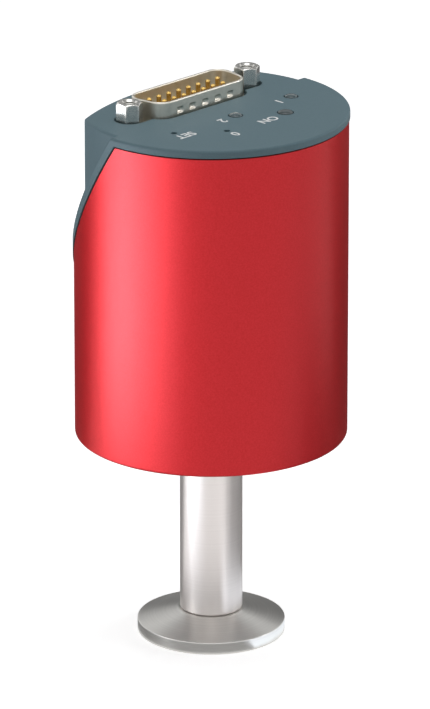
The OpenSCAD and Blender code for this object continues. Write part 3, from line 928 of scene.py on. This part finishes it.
@dataclass
class Studio:
    """Floor, light and camera.

    Attributes:
        camera_mm: Place of the camera.
        pitch_deg: How far the camera looks down.
        yaw_deg: Turn of the view about +Z.
        lens_mm: Focal length.
        sensor_mm: Width of the sensor.
        sky_seen: Strength of the world to the camera and in reflections.
        sky_light: Strength of the world's light on the gauge.
        floor_mm: Side of the square floor.
        floor_drop_mm: How far the floor lies below the sealing face.
        floor_shade: Grey of the floor.
        floor_roughness: Roughness of the floor.
        floor_seen: Strength of the floor's own white to the camera and in reflections.
        aim_mm: Height on the gauge's axis that the lamps point at.
        lamps: Softboxes that light the gauge.
        wedges: Flat sectors on the floor and one overhead, for reflections only.
        wedge_steps: Steps round a sector.
        cards: Standing cards, for reflections only.
        glow_tint: Colour of the sectors' own light.
    """

    camera_mm: PlaceMm = (-1010.547, -990.547, 568.476)
    pitch_deg: float = 19.797
    yaw_deg: float = -45.604
    lens_mm: float = 379.69
    sensor_mm: float = 36.0
    sky_seen: float = 1.0
    sky_light: float = 0.33
    floor_mm: float = 6000.0
    floor_drop_mm: float = 0.05
    floor_shade: float = 0.9
    floor_roughness: float = 0.9
    floor_seen: float = 0.56
    aim_mm: float = 65.0
    lamps: tuple[Lamp, ...] = (
        Lamp("key_softbox", (-439.0, 229.0, 120.0), 0.3, 130.0, 300.0),
        Lamp("right_strip", (300.0, -250.0, 210.0), 0.3, 100.0, 240.0),
        Lamp("front_softbox", (-420.0, -420.0, 560.0), 0.25, 420.0, 420.0),
        Lamp("top_softbox", (60.0, 60.0, 700.0), 1.7, 500.0, 500.0),
    )
    wedges: tuple[Wedge, ...] = (
        Wedge("right_near", 298.0, 404.0, 18.0, 120.0, 0.34),
        Wedge("left_near", 44.0, 108.0, 18.0, 120.0, 0.34),
        Wedge("right_far", 300.0, 340.0, 120.0, 190.0, 0.12),
        Wedge("rear_far", 340.0, 404.0, 120.0, 450.0, 0.04),
        Wedge("left_far", 44.0, 112.0, 120.0, 450.0, 0.04),
        Wedge("left_reflector", 128.0, 150.0, 160.0, 440.0, 0.8, glow_from=5.0, glow_to=12.0),
        Wedge("front_reflector", 150.0, 204.0, 160.0, 440.0, 0.8, glow_from=12.0, glow_to=0.3),
        Wedge("front_ring", 108.0, 262.0, 15.5, 34.0, 0.5),
        Wedge("right_ring", 262.0, 372.0, 15.5, 34.0, 0.9, glow_from=1.3, glow_to=0.5, lift_mm=0.3),
        Wedge("right_blend", 278.0, 298.0, 34.0, 120.0, 0.62),
        Wedge("overhead_card", -46.0, 134.0, 60.0, 460.0, 0.5, lift_mm=430.0),
    )
    wedge_steps: int = 24
    cards: tuple[Card, ...] = (
        Card("right_card", (340.0, -330.0, 100.0), 300.0, 520.0),
        Card("rear_card", (420.0, 330.0, 120.0), 420.0, 420.0),
        Card("left_card", (-160.0, 420.0, 60.0), 160.0, 260.0),
    )
    glow_tint: Rgb = (0.82, 0.9, 1.0)

    def build(self) -> None:
        """Make the world, the floor, the lamps, the cards and the camera."""
        self._world()
        self._floor()
        for lamp in self.lamps:
            self._lamp(lamp)
        for wedge in self.wedges:
            self._wedge(wedge)
        for card in self.cards:
            self._card(card)
        self._camera()

    def _world(self) -> None:
        """White to the camera and in reflections, soft and plain on the object."""
        world = bpy.data.worlds.new("studio_world")
        bpy.context.scene.world = world
        world.use_nodes = True
        tree = world.node_tree
        back = tree.nodes["Background"]
        back.inputs["Color"].default_value = (1.0, 1.0, 1.0, 1.0)
        strength = self._seen_or(tree, self.sky_seen, self.sky_light)
        tree.links.new(strength, back.inputs["Strength"])

    @staticmethod
    def _seen_or(tree: bpy.types.NodeTree, seen: float, else_value: float) -> bpy.types.NodeSocket:
        """Pick one value for camera, glossy and transmission rays and another for the rest.

        Args:
            tree: Node tree to add to.
            seen: Value for rays that see the background.
            else_value: Value for the rays that light the object.

        Returns:
            Socket with the value.
        """
        path = tree.nodes.new("ShaderNodeLightPath")
        sees = path.outputs["Is Camera Ray"]
        for ray in ("Is Glossy Ray", "Is Transmission Ray"):
            either = tree.nodes.new("ShaderNodeMath")
            either.operation = "MAXIMUM"
            tree.links.new(sees, either.inputs[0])
            tree.links.new(path.outputs[ray], either.inputs[1])
            sees = either.outputs[0]
        span = tree.nodes.new("ShaderNodeMapRange")
        span.inputs["To Min"].default_value = else_value
        span.inputs["To Max"].default_value = seen
        tree.links.new(sees, span.inputs["Value"])
        return span.outputs["Result"]

    def _floor(self) -> None:
        """Pale floor that looks white and keeps a faint shadow."""
        bm = bmesh.new()
        below = Matrix.Translation((0.0, 0.0, -self.floor_drop_mm * MM))
        bmesh.ops.create_grid(bm, x_segments=1, y_segments=1, size=self.floor_mm * MM / 2, matrix=below)
        floor = add_mesh("floor", bm)
        mat = bpy.data.materials.new("floor_white")
        mat.use_nodes = True
        tree = mat.node_tree
        shader = tree.nodes["Principled BSDF"]
        shade = self.floor_shade
        shader.inputs["Base Color"].default_value = (shade, shade, shade, 1.0)
        shader.inputs["Roughness"].default_value = self.floor_roughness
        shader.inputs["Specular IOR Level"].default_value = 0.0
        shader.inputs["Emission Color"].default_value = (1.0, 1.0, 1.0, 1.0)
        tree.links.new(self._seen_or(tree, self.floor_seen, 0.0), shader.inputs["Emission Strength"])
        floor.data.materials.append(mat)

    def _lamp(self, lamp: Lamp) -> None:
        """Add a softbox aimed at the gauge's axis.

        Args:
            lamp: Softbox to add.
        """
        place = Vector(lamp.place_mm) * MM
        light = bpy.data.lights.new(lamp.name, "AREA")
        light.shape = "RECTANGLE"
        light.energy = lamp.power
        light.size = lamp.width_mm * MM
        light.size_y = lamp.height_mm * MM
        obj = add_object(lamp.name, light)
        obj.location = place
        obj.rotation_mode = "QUATERNION"
        obj.rotation_quaternion = (Vector((0, 0, self.aim_mm * MM)) - place).to_track_quat("-Z", "Y")

    def _wedge(self, wedge: Wedge) -> None:
        """Lay a flat sector round the axis, with its glow written on its points.

        Args:
            wedge: Sector to lay.
        """
        bm = bmesh.new()
        bmesh.ops.create_grid(bm, x_segments=self.wedge_steps, y_segments=1, size=HALF_UNIT)
        glow = bm.verts.layers.float.new("glow")
        for vert in bm.verts:
            along, out = vert.co.x + HALF_UNIT, vert.co.y + HALF_UNIT
            angle = math.radians(wedge.from_deg + along * (wedge.to_deg - wedge.from_deg))
            radius = (wedge.near_mm + out * (wedge.far_mm - wedge.near_mm)) * MM
            vert[glow] = wedge.glow_from + along * (wedge.glow_to - wedge.glow_from)
            vert.co = Vector((radius * math.cos(angle), radius * math.sin(angle), wedge.lift_mm * MM))
        self._reflection_only(wedge.name, bm, wedge.shade)

    def _card(self, card: Card) -> None:
        """Stand a card beside the gauge, facing its axis.

        Args:
            card: Card to stand.
        """
        place = Vector(card.place_mm) * MM
        bm = bmesh.new()
        bmesh.ops.create_grid(bm, x_segments=1, y_segments=1, size=HALF_UNIT)
        facing = Vector((-place.x, -place.y, 0)).to_track_quat("Z", "Y").to_matrix().to_4x4()
        sizes = Matrix.Diagonal(Vector((card.width_mm * MM, card.height_mm * MM, 1.0, 1.0)))
        bmesh.ops.transform(bm, matrix=Matrix.Translation(place) @ facing @ sizes, verts=bm.verts)
        self._reflection_only(card.name, bm, card.shade)

    def _reflection_only(self, name: str, bm: bmesh.types.BMesh, shade: float) -> None:
        """Turn a bmesh into a grey stage piece that only reflections show.

        It glows as its points say, and not at all where they hold no glow.

        Args:
            name: Name of the stage piece.
            bm: Finished bmesh, which is freed.
            shade: Grey of the stage piece.
        """
        card = add_mesh(name, bm)
        mat = bpy.data.materials.new(name + "_grey")
        mat.use_nodes = True
        tree = mat.node_tree
        shader = tree.nodes["Principled BSDF"]
        shader.inputs["Base Color"].default_value = (shade, shade, shade, 1.0)
        shader.inputs["Emission Color"].default_value = (*self.glow_tint, 1.0)
        glow = tree.nodes.new("ShaderNodeAttribute")
        glow.attribute_name = "glow"
        tree.links.new(glow.outputs["Fac"], shader.inputs["Emission Strength"])
        card.data.materials.append(mat)
        card.visible_camera = False
        card.visible_diffuse = False
        card.visible_shadow = False

    def _camera(self) -> None:
        """Stand the camera at the photograph's viewing angle."""
        data = bpy.data.cameras.new("view_camera")
        data.sensor_width = self.sensor_mm
        data.lens = self.lens_mm
        cam = add_object("view_camera", data)
        cam.location = Vector(self.camera_mm) * MM
        cam.rotation_euler = (math.radians(90.0 - self.pitch_deg), 0.0, math.radians(self.yaw_deg))
        bpy.context.scene.camera = cam


def dress_nodes(store: FinishStore) -> None:
    """Give every node of the frame its finish.

    Args:
        store: Materials of the scene.
    """
    for name, finish in NODE_FINISH.items():
        store.dress(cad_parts[name], finish)
        LOG.info("node %s: %s", name, finish.name)


def main() -> None:
    """Build and dress the gauge and its studio."""
    logging.basicConfig(level=logging.INFO, format="%(name)s: %(message)s")
    bpy.context.scene.view_settings.view_transform = "Standard"
    store = FinishStore()
    dress_nodes(store)
    JackPosts(store).build()
    PlugShell(store).build()
    LightDomes(store).build()
    PanelPrint(store).build()
    Studio().build()


if __name__ == "__main__":
    main()
